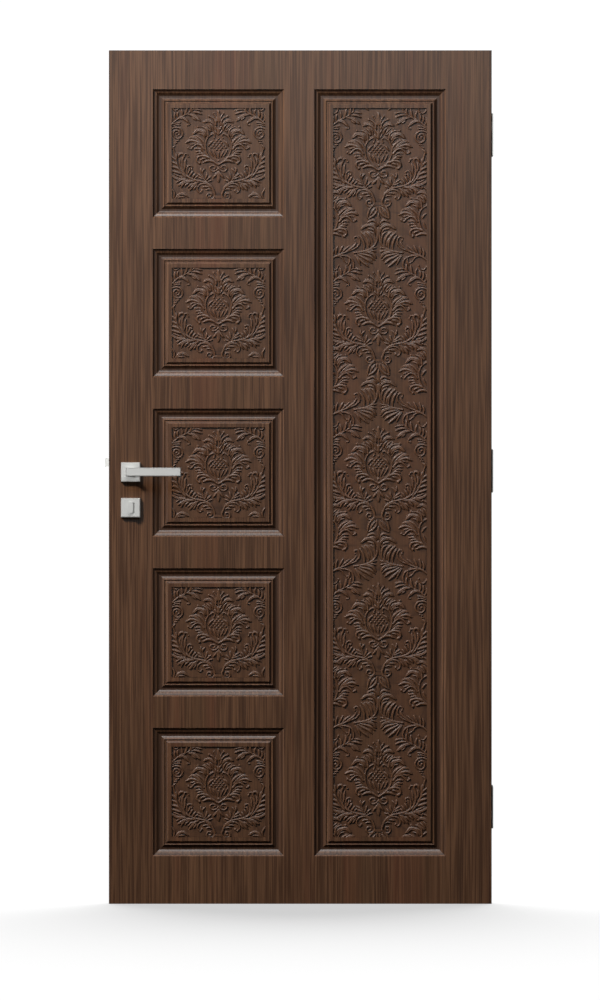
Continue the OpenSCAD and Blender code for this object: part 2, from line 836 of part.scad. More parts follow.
// Screwed base of a rose with a bearing bore
module rose_base(z, r, side) {
    color(steel) difference() {
        translate([spindle_x, side * face_y, z]) rotate([side * -90, 0, 0])
            translate([-base_side / 2, -base_side / 2, 0]) cube([base_side, base_side, base_t]);
        round_y(spindle_x, z, r + run_clear, -2 * face_y, 2 * face_y);
        rose_screw_places() translate([0, side * (face_y + base_t), 0]) rotate([side * 90, 0, 0])
            screw_seat(rose_screw_r, rose_screw_head, base_t);
    }
}

// Square cover that hides the base and its screws
module rose_cover(z, r, side) {
    inner = rose_side - 2 * rose_wall;
    color(nickel) translate([spindle_x, side * face_y, z]) rotate([side * -90, 0, 0]) difference() {
        chamfered(rose_side, rose_side, rose_t, bright_edge);
        translate([-inner / 2, -inner / 2, -1]) cube([inner, inner, rose_t - rose_wall + 1]);
        cylinder(r = r + slide_clear, h = rose_t + 1);
    }
}

module front_rose_base() {
    rose_base(spindle_z, spigot_r, -1);
}

module rear_rose_base() {
    rose_base(spindle_z, spigot_r, 1);
}

module front_rose_cover() {
    rose_cover(spindle_z, spigot_r, -1);
}

module rear_rose_cover() {
    rose_cover(spindle_z, spigot_r, 1);
}

module front_turn_base() {
    rose_base(turn_z, turn_spigot_r, -1);
}

module rear_turn_base() {
    rose_base(turn_z, turn_spigot_r, 1);
}

module front_turn_cover() {
    rose_cover(turn_z, turn_spigot_r, -1);
}

module rear_turn_cover() {
    rose_cover(turn_z, turn_spigot_r, 1);
}

module rose_screws() {
    color(steel) rose_screw_places() for (side = [-1, 1])
        translate([0, side * (face_y + base_t), 0]) rotate([side * 90, 0, 0])
            screw(rose_screw_r, rose_screw_head, rose_screw_l);
}

// Spigot of the privacy turn with its square socket, from the rose's face inwards
module turn_spigot(out) {
    round_y(spindle_x, turn_z, turn_spigot_r, -face_y - rose_t - out, -face_y - slide_clear);
}

module thumb_turn() {
    color(nickel) difference() {
        union() {
            turn_spigot(slide_clear + 1);
            translate([spindle_x, -face_y - rose_t - slide_clear, turn_z]) rotate([90, 0, 0])
                linear_extrude(thumb_out - slide_clear) hull() {
                    for (x = [-1, 1]) for (z = [-1, 1])
                        translate([x * (thumb_w / 2 - thumb_round), z * (thumb_h / 2 - thumb_round)])
                            circle(thumb_round);
                }
        }
        square_y(spindle_x, turn_z, turn_side + 2 * run_clear, -turn_half - 1, 0);
    }
}

module coin_release() {
    face = -face_y - rose_t - slide_clear;
    color(nickel) mirror([0, 1, 0]) difference() {
        union() {
            turn_spigot(slide_clear);
            round_y(spindle_x, turn_z, turn_spigot_r + release_lip, face - release_out, face);
        }
        square_y(spindle_x, turn_z, turn_side + 2 * run_clear, -face_y - rose_t, 0);
        translate([spindle_x - release_slot / 2, face - release_out - 1, turn_z - rose_side])
            cube([release_slot, release_slot + 1, 2 * rose_side]);
    }
}

// Knuckles of a hinge: first is 0 for the frame side and 1 for the door side
module knuckle_row(first, web_x) {
    for (k = [first : 2 : knuckles - 1]) {
        z0 = k * knuckle_h - hinge_h / 2 + (k > 0 ? slide_clear / 2 : 0);
        z1 = (k + 1) * knuckle_h - hinge_h / 2 - (k < knuckles - 1 ? slide_clear / 2 : 0);
        translate([axis_x, axis_y, z0]) cylinder(r = barrel_r, h = z1 - z0);
        box([web_x, face_y - 1, z0], [web_x + hinge_t, axis_y, z1]);
    }
}

// One side of a hinge: plate, webs and knuckles, without its holes
module hinge_side(first, web_x) {
    box([web_x, face_y - hinge_w, -hinge_h / 2], [web_x + hinge_t, face_y, hinge_h / 2]);
    knuckle_row(first, web_x);
}

module pin_bore() {
    translate([axis_x, axis_y, -hinge_h]) cylinder(r = pin_r + run_clear, h = 2 * hinge_h);
}

module hinge_plate(z) {
    color(nickel) difference() {
        translate([0, 0, z]) difference() {
            hinge_side(1, hinge_x - hinge_t);
            pin_bore();
        }
        hinge_spots() screw_seat(hinge_screw_r, hinge_screw_head, hinge_t);
    }
}

module frame_plate(z) {
    x0 = hinge_x + hinge_gap;
    color(nickel) translate([0, 0, z]) difference() {
        hinge_side(0, x0);
        pin_bore();
        for (y = [-hole_dy, hole_dy]) for (dz = [-hole_dz, hole_dz])
            translate([x0 - 1, y, dz]) rotate([0, 90, 0]) cylinder(r = hole_r, h = hinge_t + 2);
    }
}

// Pin with a cap at each end of the barrel
module hinge_pin(z) {
    color(nickel) translate([axis_x, axis_y, z]) {
        translate([0, 0, -hinge_h / 2]) cylinder(r = pin_r, h = hinge_h);
        for (s = [-1, 1]) translate([0, 0, s * (hinge_h + pin_cap) / 2])
            cylinder(r = barrel_r, h = pin_cap, center = true);
    }
}

module hinge_plate_top() {
    hinge_plate(hinge_zs[0]);
}

module hinge_plate_middle() {
    hinge_plate(hinge_zs[1]);
}

module hinge_plate_bottom() {
    hinge_plate(hinge_zs[2]);
}

module frame_plate_top() {
    frame_plate(hinge_zs[0]);
}

module frame_plate_middle() {
    frame_plate(hinge_zs[1]);
}

module frame_plate_bottom() {
    frame_plate(hinge_zs[2]);
}

module hinge_pin_top() {
    hinge_pin(hinge_zs[0]);
}

module hinge_pin_middle() {
    hinge_pin(hinge_zs[1]);
}

module hinge_pin_bottom() {
    hinge_pin(hinge_zs[2]);
}

module hinge_screws() {
    color(nickel) hinge_spots() screw(hinge_screw_r, hinge_screw_head, hinge_screw_l);
}

front_skin();
rear_skin();
lock_stile();
hinge_stile();
top_rail();
bottom_rail();
core_board();
lock_lipping();
hinge_lipping();
carved_panel_1();
carved_panel_2();
carved_panel_3();
carved_panel_4();
carved_panel_5();
carved_panel_tall();
lock_case();
lock_cover();
forend_plate();
forend_screws();
latch_bolt();
latch_spring();
lever_follower();
return_spring();
dead_bolt();
bolt_cam();
lever_spindle();
turn_spindle();
front_lever();
rear_lever();
front_grub_screw();
rear_grub_screw();
front_rose_base();
rear_rose_base();
front_rose_cover();
rear_rose_cover();
front_turn_base();
rear_turn_base();
front_turn_cover();
rear_turn_cover();
rose_screws();
thumb_turn();
coin_release();
hinge_plate_top();
hinge_plate_middle();
hinge_plate_bottom();
frame_plate_top();
frame_plate_middle();
frame_plate_bottom();
hinge_pin_top();
hinge_pin_middle();
hinge_pin_bottom();
hinge_screws();
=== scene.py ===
import json
import math

import bpy
import numpy as np
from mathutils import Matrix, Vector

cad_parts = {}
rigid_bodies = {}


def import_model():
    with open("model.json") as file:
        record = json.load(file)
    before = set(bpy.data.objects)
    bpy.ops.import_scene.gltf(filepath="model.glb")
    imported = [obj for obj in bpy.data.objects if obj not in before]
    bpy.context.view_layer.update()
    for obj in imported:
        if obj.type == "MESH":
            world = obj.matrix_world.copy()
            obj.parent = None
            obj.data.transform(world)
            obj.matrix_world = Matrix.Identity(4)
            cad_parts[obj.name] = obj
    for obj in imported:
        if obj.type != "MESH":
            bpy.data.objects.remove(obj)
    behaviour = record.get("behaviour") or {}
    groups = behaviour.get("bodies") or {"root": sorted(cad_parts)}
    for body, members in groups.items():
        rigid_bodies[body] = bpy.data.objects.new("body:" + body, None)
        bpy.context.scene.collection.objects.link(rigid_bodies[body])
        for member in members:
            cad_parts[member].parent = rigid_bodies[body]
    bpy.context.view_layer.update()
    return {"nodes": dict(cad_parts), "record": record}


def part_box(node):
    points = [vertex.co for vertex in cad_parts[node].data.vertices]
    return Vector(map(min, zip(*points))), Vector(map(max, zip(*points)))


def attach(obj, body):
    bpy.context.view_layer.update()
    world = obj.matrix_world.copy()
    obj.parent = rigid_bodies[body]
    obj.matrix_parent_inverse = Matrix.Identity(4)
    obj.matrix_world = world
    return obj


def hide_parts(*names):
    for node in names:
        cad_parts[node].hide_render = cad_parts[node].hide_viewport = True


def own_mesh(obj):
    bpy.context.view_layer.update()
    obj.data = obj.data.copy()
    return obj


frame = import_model()
bpy.ops.object.select_all(action="DESELECT")

# Carved pattern: right half of one repeat, in millimetres from the foot of the palmette.
# Each stroke is its kind, its width and the points of its centre line.
REPEAT = 374.6
HALF_REPEAT_WIDTH = 118
LOW = -224.6
CELL = 0.5
STEM, LEAF, CURL, PAD = "stem", "leaf", "curl", "pad"

# How strokes taper along their length, from 0 at the root to 1 at the tip
STEM_TAPER = 0.2
CURL_TAPER = 0.45
LEAF_ROOT, LEAF_SWELL = 0.4, 1.5
LEAF_TIP_FROM, LEAF_TIP_TAPER = 0.6, 0.55

# How high strokes rise for their half width, how round they are, and the vein of a broad leaf
RELIEF = 2.6
LEAST_RISE, RISE = 0.9, 0.6
PAD_RELIEF, PAD_RISE = 0.8, 0.16
ROUNDING = 2.4
CURL_BALL = 0.46
VEINED_WIDTH, VEIN_DEPTH, VEIN_SPREAD = 8, 0.55, 0.8
OUT_OF_REACH = 9.0

# Band that ties the branches below the palmette
KNOT_HALF, KNOT_LOW, KNOT_HIGH, KNOT_RISE = 9.5, -82, -76, 1.7

# Hollows are what lies below the softened pattern, into which the walnut paints shade: the softening in
# cells, the full depth in millimetres
HOLLOW_REACH, HOLLOW_DEPTH = 9, 1.3

PALMETTE = [
    (PAD, 14, [(6, 88), (13, 98), (26, 106)]),
    (PAD, 17, [(26, 72), (33, 83), (45, 87), (57, 83)]),
    (PAD, 25, [(35, 47), (48, 58), (61, 62), (73, 58)]),
    (PAD, 15, [(28, 26), (38, 32), (50, 32)]),
    (PAD, 15, [(26, 19), (40, 18), (48, 12)]),
    (LEAF, 9, [(0, 106), (0, 117), (0, 127), (0, 136)]),
    (STEM, 4, [(0, 84), (0, 95), (0, 106)]),
    (LEAF, 4.5, [(2, 86), (6, 94), (9, 99)]),
    (CURL, 5.5, [(4, 110), (6, 120), (12, 129)]),
    (CURL, 6, [(6, 101), (8, 111), (14, 118), (23, 122)]),
    (LEAF, 8.5, [(8, 98), (16, 107), (26, 111), (36, 107)]),
    (LEAF, 4.5, [(12, 87), (15, 96), (21, 103)]),
    (LEAF, 4.5, [(16, 85), (22, 94), (29, 100)]),
    (CURL, 4.5, [(20, 85), (26, 91), (34, 97)]),
    (CURL, 6, [(25, 74), (27, 86), (36, 94), (51, 95)]),
    (LEAF, 5, [(29, 75), (32, 83), (41, 89)]),
    (LEAF, 9.5, [(31, 73), (39, 83), (51, 87), (63, 77)]),
    (LEAF, 4.5, [(33, 67), (38, 76), (47, 79)]),
    (LEAF, 6.5, [(33, 45), (35, 56), (44, 66), (55, 73)]),
    (LEAF, 8, [(37, 50), (50, 62), (61, 69), (71, 68)]),
    (LEAF, 7.5, [(40, 50), (54, 58), (67, 61), (80, 56)]),
    (LEAF, 4.5, [(46, 53), (56, 55), (69, 51)]),
    (CURL, 6.5, [(36, 40), (43, 49), (53, 52), (62, 46), (68, 40), (74, 43)]),
    (LEAF, 5, [(37, 33), (46, 41), (58, 40)]),
    (LEAF, 5, [(37, 28), (45, 34), (56, 33)]),
    (LEAF, 5, [(32, 23), (40, 29), (52, 27)]),
    (CURL, 8, [(25, 19), (38, 23), (50, 20), (53, 11), (47, 5)]),
    (LEAF, 5, [(30, 17), (38, 16), (44, 12)]),
    (LEAF, 7.5, [(3, 1), (13, 9), (26, 11), (38, 6)]),
    (STEM, 5, [(0, 1), (11, 8), (22, 18), (29, 30), (32, 45), (31, 58), (26, 69), (18, 76)]),
    (CURL, 4.5, [(19, 75), (13, 78), (9, 74), (11, 67)]),
    (LEAF, 8, [(0, 75), (0, 81), (0, 87), (0, 94)]),
    (LEAF, 4.2, [(1, 77), (5, 80), (9, 86)]),
    (LEAF, 5, [(13, 60), (19, 56), (25, 47)]),
    (LEAF, 4.2, [(12, 21), (18, 29), (22, 39)]),
    (LEAF, 4.2, [(5, 19), (9, 27), (13, 36)]),
    (LEAF, 4.2, [(0, 17), (0, 25), (0, 33)]),
]
SEED_WIDTH, SEED_LENGTH = 4.6, 0.6
SEED_PLACES = [
    (0, 66), (4.5, 60.5), (0, 55), (9, 55), (4.5, 49.5), (13, 49),
    (0, 44), (9, 44), (18, 44), (4.5, 38.5), (0, 11),
]
SEEDS = [(STEM, SEED_WIDTH, [(x, y), (x + SEED_LENGTH, y)]) for x, y in SEED_PLACES]
BRANCH = [
    (PAD, 13, [(60, -41), (76, -43), (92, -48)]),
    (PAD, 12, [(51, -45), (60, -51), (68, -59)]),
    (PAD, 12, [(20, -56), (30, -53), (42, -54)]),
    (PAD, 14, [(88, -22), (101, -8), (110, 6)]),
    (PAD, 13, [(84, -18), (88, 0), (88, 18)]),
    (STEM, 4.2, [(0, -8), (6, -14), (14, -16), (20, -12), (21, -6), (16, -2), (9, -3), (7, -7), (11, -9)]),
    (LEAF, 9, [(0, -15), (0, -24), (0, -33), (0, -42)]),
    (LEAF, 6, [(2, -16), (6, -24), (13, -32)]),
    (STEM, 3.4, [(31, -43), (37, -31), (40, -19)]),
    (LEAF, 5, [(40, -21), (38, -14), (33, -9)]),
    (LEAF, 5, [(40, -21), (43, -14), (43, -7)]),
    (LEAF, 5.5, [(37, -33), (44, -27), (51, -22)]),
    (LEAF, 5, [(35, -36), (43, -33), (50, -30)]),
    (LEAF, 5.5, [(34, -37), (30, -30), (28, -20)]),
    (LEAF, 5.5, [(32, -40), (25, -34), (19, -28)]),
    (LEAF, 4.5, [(29, -43), (22, -40), (15, -38)]),
    (STEM, 5.5, [(9, -72), (15, -57), (23, -48), (35, -42), (51, -39), (67, -34), (76, -26), (78, -15)]),
    (CURL, 5, [(78, -17), (77, -6), (71, -1), (65, -4), (66, -10)]),
    (LEAF, 4.5, [(59, -36), (56, -31), (51, -28)]),
    (LEAF, 5, [(65, -34), (61, -27), (56, -21)]),
    (LEAF, 5.5, [(72, -29), (67, -21), (63, -15)]),
    (LEAF, 4.5, [(76, -22), (72, -15), (70, -8)]),
    (STEM, 5.5, [(70, -33), (82, -24), (89, -8), (89, 10), (85, 22)]),
    (CURL, 5, [(85, 20), (83, 27), (77, 27), (74, 21)]),
    (LEAF, 6.5, [(84, 22), (88, 29), (95, 27), (98, 20)]),
    (LEAF, 5.5, [(86, -16), (82, -4), (82, 6), (80, 15)]),
    (LEAF, 5, [(91, -6), (95, 5), (94, 16)]),
    (STEM, 5, [(82, -30), (95, -14), (103, 6), (108, 30), (112, 44)]),
    (LEAF, 5.5, [(104, 10), (103, 20), (105, 29)]),
    (LEAF, 6, [(104, 8), (109, 16), (116, 22)]),
    (LEAF, 6.5, [(99, -4), (106, 4), (116, 8)]),
    (LEAF, 6.5, [(95, -13), (104, -7), (116, -4)]),
    (LEAF, 7, [(90, -22), (101, -19), (116, -14)]),
    (LEAF, 8, [(80, -33), (93, -35), (104, -33), (116, -26)]),
    (LEAF, 4.5, [(90, -31), (100, -27), (110, -22)]),
    (LEAF, 9, [(57, -40), (71, -40), (85, -43), (99, -51)]),
    (LEAF, 5.5, [(74, -39), (84, -36), (95, -39), (104, -44)]),
    (LEAF, 5.5, [(80, -43), (88, -49), (92, -57)]),
    (LEAF, 5, [(70, -43), (78, -48), (83, -54)]),
    (LEAF, 8, [(47, -42), (56, -46), (64, -54), (71, -63)]),
    (LEAF, 5, [(58, -46), (67, -49), (76, -57)]),
    (LEAF, 5, [(53, -46), (56, -54), (62, -62)]),
    (CURL, 6, [(20, -54), (30, -47), (41, -47), (50, -53), (52, -62), (46, -69), (41, -65)]),
    (LEAF, 5, [(18, -58), (28, -54), (38, -56)]),
    (LEAF, 4.5, [(15, -63), (23, -60), (31, -62)]),
    (STEM, 4.6, [(9, -70), (9, -78), (15, -85), (24, -85), (29, -78), (25, -71), (18, -72), (18, -78),
                 (22, -79)]),
]
TREE = [
    (PAD, 26, [(16, -178), (22, -165), (31, -152)]),
    (PAD, 24, [(46, -201), (32, -206), (17, -212)]),
    (PAD, 13, [(10, -90), (14, -100), (22, -110)]),
    (PAD, 10, [(4, -142), (16, -135), (32, -136)]),
    (LEAF, 6, [(4, -88), (5, -99), (13, -109), (24, -115)]),
    (LEAF, 6, [(9, -84), (19, -90), (24, -101), (26, -114)]),
    (LEAF, 5, [(8, -90), (14, -98), (20, -108)]),
    (LEAF, 9.5, [(0, -103), (0, -112), (0, -120), (0, -129)]),
    (LEAF, 6.5, [(2, -132), (7, -123), (14, -119), (26, -124)]),
    (LEAF, 4.5, [(3, -135), (10, -128), (20, -126)]),
    (LEAF, 8.5, [(3, -149), (7, -138), (17, -131), (29, -132), (41, -140)]),
    (LEAF, 5, [(7, -151), (13, -142), (25, -139)]),
    (STEM, 5.5, [(1, -138), (2, -155), (5, -171), (13, -183), (25, -190), (40, -194), (58, -197)]),
    (LEAF, 6, [(8, -173), (8, -161), (12, -151), (20, -146)]),
    (LEAF, 6.5, [(14, -181), (16, -167), (22, -155), (31, -147)]),
    (LEAF, 6.5, [(24, -187), (25, -172), (31, -158), (40, -149)]),
    (LEAF, 6, [(34, -190), (34, -177), (38, -165), (44, -155)]),
    (LEAF, 4.5, [(20, -180), (21, -171), (26, -162)]),
    (STEM, 5, [(118, -216), (104, -206), (88, -199), (70, -192), (54, -185), (46, -176)]),
    (CURL, 4.6, [(46, -178), (45, -167), (51, -158), (58, -161), (56, -167)]),
    (LEAF, 5.5, [(82, -196), (68, -188), (58, -180), (53, -171)]),
    (LEAF, 5, [(90, -199), (80, -189), (69, -180)]),
    (LEAF, 5.5, [(95, -201), (90, -190), (85, -180)]),
    (LEAF, 5.5, [(101, -204), (101, -192), (98, -181)]),
    (LEAF, 5.5, [(107, -208), (109, -198), (106, -188)]),
    (LEAF, 5, [(24, -189), (14, -186), (5, -184)]),
    (LEAF, 5, [(26, -192), (15, -191), (5, -194)]),
    (LEAF, 8, [(42, -195), (25, -195), (13, -199), (6, -209)]),
    (LEAF, 6.5, [(46, -198), (30, -202), (18, -206), (9, -214)]),
    (LEAF, 6.5, [(50, -200), (37, -208), (25, -214), (15, -222)]),
    (LEAF, 6.5, [(54, -202), (44, -213), (34, -222), (24, -230)]),
    (LEAF, 5, [(56, -203), (49, -214), (43, -226)]),
    (STEM, 5, [(104, -206), (90, -203), (76, -205), (64, -211), (59, -222), (60, -235)]),
    (LEAF, 5, [(70, -208), (69, -218), (73, -227)]),
    (CURL, 5, [(98, -204), (88, -208), (82, -216), (75, -221)]),
]
CORNER = [
    (STEM, 4.6, [(118, 99), (110, 107), (98, 117), (85, 124), (72, 131), (60, 141)]),
    (LEAF, 8.5, [(99, 115), (89, 118), (80, 113), (74, 107)]),
    (CURL, 4.5, [(80, 112), (73, 107), (71, 101), (76, 100)]),
    (LEAF, 9, [(76, 126), (65, 125), (55, 119), (45, 111)]),
    (LEAF, 4.5, [(66, 123), (62, 117), (55, 112)]),
    (LEAF, 6, [(67, 132), (54, 132), (41, 127)]),
    (LEAF, 5, [(61, 139), (51, 139), (40, 136)]),
    (LEAF, 6, [(71, 132), (67, 140), (67, 150)]),
    (LEAF, 6, [(84, 124), (79, 134), (77, 147)]),
    (LEAF, 5.5, [(91, 121), (89, 131), (92, 141)]),
    (LEAF, 5.5, [(98, 117), (101, 126), (99, 135)]),
    (LEAF, 5.5, [(104, 112), (108, 121), (107, 131)]),
    (LEAF, 5, [(110, 107), (115, 115), (115, 125)]),
    (CURL, 4.5, [(116, 146), (108, 137), (100, 139), (96, 147)]),
    (STEM, 3.8, [(94, 106), (103, 105), (112, 102)]),
    (STEM, 3.8, [(96, 100), (105, 100), (114, 97)]),
    (STEM, 4.6, [(117, 90), (106, 94), (94, 91), (88, 81), (91, 71), (100, 66), (109, 71), (111, 80),
                 (105, 87), (97, 84), (96, 77), (101, 74)]),
    (STEM, 5, [(103, 79), (104, 79)]),
    (STEM, 4, [(98, 62), (105, 60)]),
    (STEM, 3.8, [(103, 56), (108, 54)]),
    (LEAF, 4.5, [(106, 50), (110, 46), (114, 40)]),
]
CRESCENT = [
    (LEAF, 8, [(110, -88), (98, -75), (87, -72), (75, -79)]),
    (LEAF, 4.5, [(106, -87), (96, -80), (84, -80)]),
    (LEAF, 5, [(112, -86), (108, -72), (115, -58)]),
]
# The neighbouring palmettes, which only the tall panel is wide enough to show
SIDE_FOOT = (129, -162)
SIDE = [(kind, width, [(SIDE_FOOT[0] - x, SIDE_FOOT[1] + y) for x, y in points])
        for kind, width, points in PALMETTE]


def spline(points, steps=9):
    """Points of a smooth curve through the given ones, and how far along it each lies."""
    p = np.array(points, float)
    p = np.vstack([2 * p[0] - p[1], p, 2 * p[-1] - p[-2]])
    t = np.linspace(0, 1, steps, endpoint=False)[:, None]
    spans = []
    for a, b, c, d in zip(p, p[1:], p[2:], p[3:]):
        spans.append(0.5 * (2 * b + (c - a) * t + (2 * a - 5 * b + 4 * c - d) * t ** 2
                            + (3 * b - a - 3 * c + d) * t ** 3))
    line = np.vstack(spans + [p[-2]])
    run = np.concatenate([[0], np.cumsum(np.hypot(*np.diff(line, axis=0).T))])
    return line, run / run[-1]


def half_width(kind, width, t):
    """Half the width of a stroke along its length."""
    if kind == STEM:
        return width / 2 * (1 - STEM_TAPER * t)
    if kind == CURL:
        return width / 2 * (1 - CURL_TAPER * t)
    root = np.minimum(1, LEAF_ROOT + LEAF_SWELL * t)
    tip = np.clip((t - LEAF_TIP_FROM) / (1 - LEAF_TIP_FROM), 0, 1)
    return width / 2 * root * (1 - LEAF_TIP_TAPER * tip ** 2)


def carve(field, kind, width, points):
    """Raises one stroke out of the field, wherever its repeats and its mirror image reach."""
    rows, columns = field.shape
    line, along = spline(points)
    half = half_width(kind, width, along)
    for mirror in (1, -1):
        for lift in (-REPEAT, 0, REPEAT):
            p = line * (mirror, 1) + (0, lift)
            x0, y0 = (p.min(axis=0) - width - (0, LOW)) / CELL
            x1, y1 = (p.max(axis=0) + width - (0, LOW)) / CELL
            x0, x1 = max(int(x0), 0), min(int(x1) + 1, columns)
            y0, y1 = max(int(y0), 0), min(int(y1) + 1, rows)
            if x0 >= x1 or y0 >= y1:
                continue
            gx, gy = np.meshgrid(np.arange(x0, x1) * CELL, np.arange(y0, y1) * CELL + LOW)
            best = np.full(gx.shape, OUT_OF_REACH)
            wide = np.ones(gx.shape)
            for a, b, ha, hb in zip(p, p[1:], half, half[1:]):
                d = b - a
                s = np.clip(((gx - a[0]) * d[0] + (gy - a[1]) * d[1]) / (d @ d + 1e-9), 0, 1)
                h = ha + (hb - ha) * s
                u = np.hypot(gx - a[0] - s * d[0], gy - a[1] - s * d[1]) / h
                wide = np.where(u < best, h, wide)
                best = np.minimum(best, u)
            if kind == CURL:
                ball = CURL_BALL * width
                u = np.hypot(gx - p[-1][0], gy - p[-1][1]) / ball
                wide = np.where(u < best, ball, wide)
                best = np.minimum(best, u)
            top = np.minimum(RELIEF, LEAST_RISE + RISE * wide)
            if kind == PAD:
                top = np.minimum(PAD_RELIEF, PAD_RISE * wide)
            height = top * np.sqrt(np.clip(1 - best ** ROUNDING, 0, 1))
            if kind == LEAF and width >= VEINED_WIDTH:
                vein = np.exp(-(best * wide / VEIN_SPREAD) ** 2) * (best < 1)
                height = height - VEIN_DEPTH * vein
            part = field[y0:y1, x0:x1]
            np.maximum(part, height, out=part)


def pattern_field():
    """Heights of what both patterns share, over the right half of one repeat, in millimetres."""
    field = np.zeros((int(round(REPEAT / CELL)), int(HALF_REPEAT_WIDTH / CELL)))
    gy, gx = np.indices(field.shape)
    gx, gy = gx * CELL, gy * CELL + LOW
    for stroke in PALMETTE + SEEDS + BRANCH + TREE + CORNER:
        carve(field, *stroke)
    knot = (gx < KNOT_HALF) & (gy > KNOT_LOW) & (gy < KNOT_HIGH)
    field[knot] = np.maximum(field[knot], KNOT_RISE)
    return field


def completed(shared, strokes):
    """The shared pattern with a panel's own strokes, and how hollow it is from place to place."""
    field = shared.copy()
    for stroke in strokes:
        carve(field, *stroke)
    return field, np.clip((blurred(field, HOLLOW_REACH) - field) / HOLLOW_DEPTH, -1, 1)


def sample(field, x, y):
    """Heights of the pattern at places given in millimetres from a palmette's foot."""
    column = np.minimum(np.abs(x) / CELL, field.shape[1] - 1.001)
    row = ((y - LOW) % REPEAT) / REPEAT * field.shape[0]
    i, j = column.astype(int), row.astype(int)
    u, v = column - i, row - j
    j, k = j % field.shape[0], (j + 1) % field.shape[0]
    return ((field[j, i] * (1 - u) + field[j, i + 1] * u) * (1 - v)
            + (field[k, i] * (1 - u) + field[k, i + 1] * u) * v)


def blurred(field, reach):
    """The field softened over a reach in cells; it repeats along its height and mirrors at its axis."""
    soft = np.concatenate([field[:, reach:0:-1], field, field[:, -2:-2 - reach:-1]], axis=1)
    kernel = np.hanning(2 * reach + 3)[1:-1]
    kernel /= kernel.sum()
    soft = np.apply_along_axis(lambda line: np.convolve(line, kernel, "valid"), 1, soft)
    soft = np.concatenate([soft[-reach:], soft, soft[:reach]], axis=0)
    return np.apply_along_axis(lambda line: np.convolve(line, kernel, "valid"), 0, soft)


MM = 1000
# Name of the mask that sets painted shade in the carving's hollows
HOLLOW_SHADE = "hollow_shade"
SMOOTH = "smooth"
GRID = 0.0008
KEPT_FACES = 0.36
BOARD = 0.0035
# Normals follow the pattern over this span in millimetres, and are level on faces wider than this area
SPAN = 0.45
WIDE_FACE = 2.5e-6
FRONT = np.array([0, -1, 0])


def vertex_places(mesh):
    """Where the vertices of a mesh are, a row for each."""
    flat = np.empty(len(mesh.vertices) * 3)
    mesh.vertices.foreach_get("co", flat)
    return flat.reshape(-1, 3)


def point_values(mesh, name, values):
    """Keeps a value for each vertex, under a name that the materials read."""
    kept = mesh.attributes.new(name, "FLOAT", "POINT")
    kept.data.foreach_set("value", values.astype(np.float32))


def turn_to_front(piece):
    """Turns all faces of a raised grid to the front."""
    bpy.ops.object.mode_set(mode="EDIT")
    bpy.ops.mesh.select_all(action="SELECT")
    bpy.ops.mesh.normals_make_consistent(inside=False)
    bpy.ops.object.mode_set(mode="OBJECT")
    if piece.data.polygons[0].normal.y > 0:
        piece.data.flip_normals()


def thin_out(piece):
    """Joins the faces that the carving can do without, and leaves triangles."""
    thin = piece.modifiers.new("thin", "DECIMATE")
    thin.ratio = KEPT_FACES
    thin.use_collapse_triangulate = True
    bpy.ops.object.modifier_apply(modifier=thin.name)
    bpy.ops.object.shade_smooth()


def widest_faces(mesh):
    """The area of the widest triangle at each vertex."""
    corners = np.empty(len(mesh.loops), np.int32)
    mesh.loops.foreach_get("vertex_index", corners)
    areas = np.empty(len(mesh.polygons))
    mesh.polygons.foreach_get("area", areas)
    widest = np.zeros(len(mesh.vertices))
    np.maximum.at(widest, corners, np.repeat(areas, 3))
    return widest


def add_sides(piece, back):
    """Carries the border of a carved surface to the back of its board."""
    bpy.ops.object.mode_set(mode="EDIT")
    bpy.ops.mesh.select_all(action="DESELECT")
    bpy.ops.mesh.select_mode(type="EDGE")
    bpy.ops.mesh.select_non_manifold(extend=False)
    bpy.ops.mesh.extrude_edges_move()
    bpy.ops.mesh.select_mode(type="VERT")
    bpy.ops.object.mode_set(mode="OBJECT")
    for vertex in piece.data.vertices:
        if vertex.select:
            vertex.co.y = back


def pattern_normals(field, across, up, level):
    """Normals of the pattern at places on it, straight to the front where level is 1."""
    tilt = np.column_stack([
        sample(field, across - SPAN, up) - sample(field, across + SPAN, up),
        np.full(len(across), -2 * SPAN),
        sample(field, across, up - SPAN) - sample(field, across, up + SPAN)])
    tilt = tilt / np.linalg.norm(tilt, axis=1)[:, None]
    tilt = tilt * (1 - level) + FRONT * level
    return tilt / np.linalg.norm(tilt, axis=1)[:, None]


def carved_piece(name, node, low, high, foot, shift, stretch, field, hollow):
    """Carved surface of a board between two heights, as a fine grid raised to the pattern."""
    near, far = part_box(node)
    middle = (near[0] + far[0]) / 2
    width, height = far[0] - near[0], high - low
    columns, rows = int(width / GRID), int(height / GRID)
    bpy.ops.mesh.primitive_grid_add(x_subdivisions=columns, y_subdivisions=rows, size=1)
    piece = bpy.context.object
    piece.name = piece.data.name = name
    flat = vertex_places(piece.data)
    x, z = middle + flat[:, 0] * width, low + (flat[:, 1] + 0.5) * height
    rise = sample(field, ((x - middle) * MM + shift) / stretch[0], (z - foot) * MM / stretch[1])
    ground = far[1] - BOARD
    place = np.column_stack([x, ground - rise / MM, z])
    piece.data.vertices.foreach_set("co", place.ravel())
    piece.data.update()
    turn_to_front(piece)
    thin_out(piece)
    place = vertex_places(piece.data)
    across = ((place[:, 0] - middle) * MM + shift) / stretch[0]
    up = (place[:, 2] - foot) * MM / stretch[1]
    level = np.clip(widest_faces(piece.data) / WIDE_FACE - 1, 0, 1)[:, None]
    point_values(piece.data, HOLLOW_SHADE, sample(hollow, across, up))
    point_values(piece.data, SMOOTH, np.ones(len(place)))
    add_sides(piece, far[1])
    normals = np.zeros((len(piece.data.vertices), 3))
    normals[:len(place)] = pattern_normals(field, across, up, level)
    piece.data.normals_split_custom_set_from_vertices(normals.tolist())
    bpy.ops.object.select_all(action="DESELECT")
    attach(piece, "leaf")
    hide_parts(node)
    return piece


shared = pattern_field()
square_pattern = completed(shared, CRESCENT)
tall_pattern = completed(shared, SIDE)
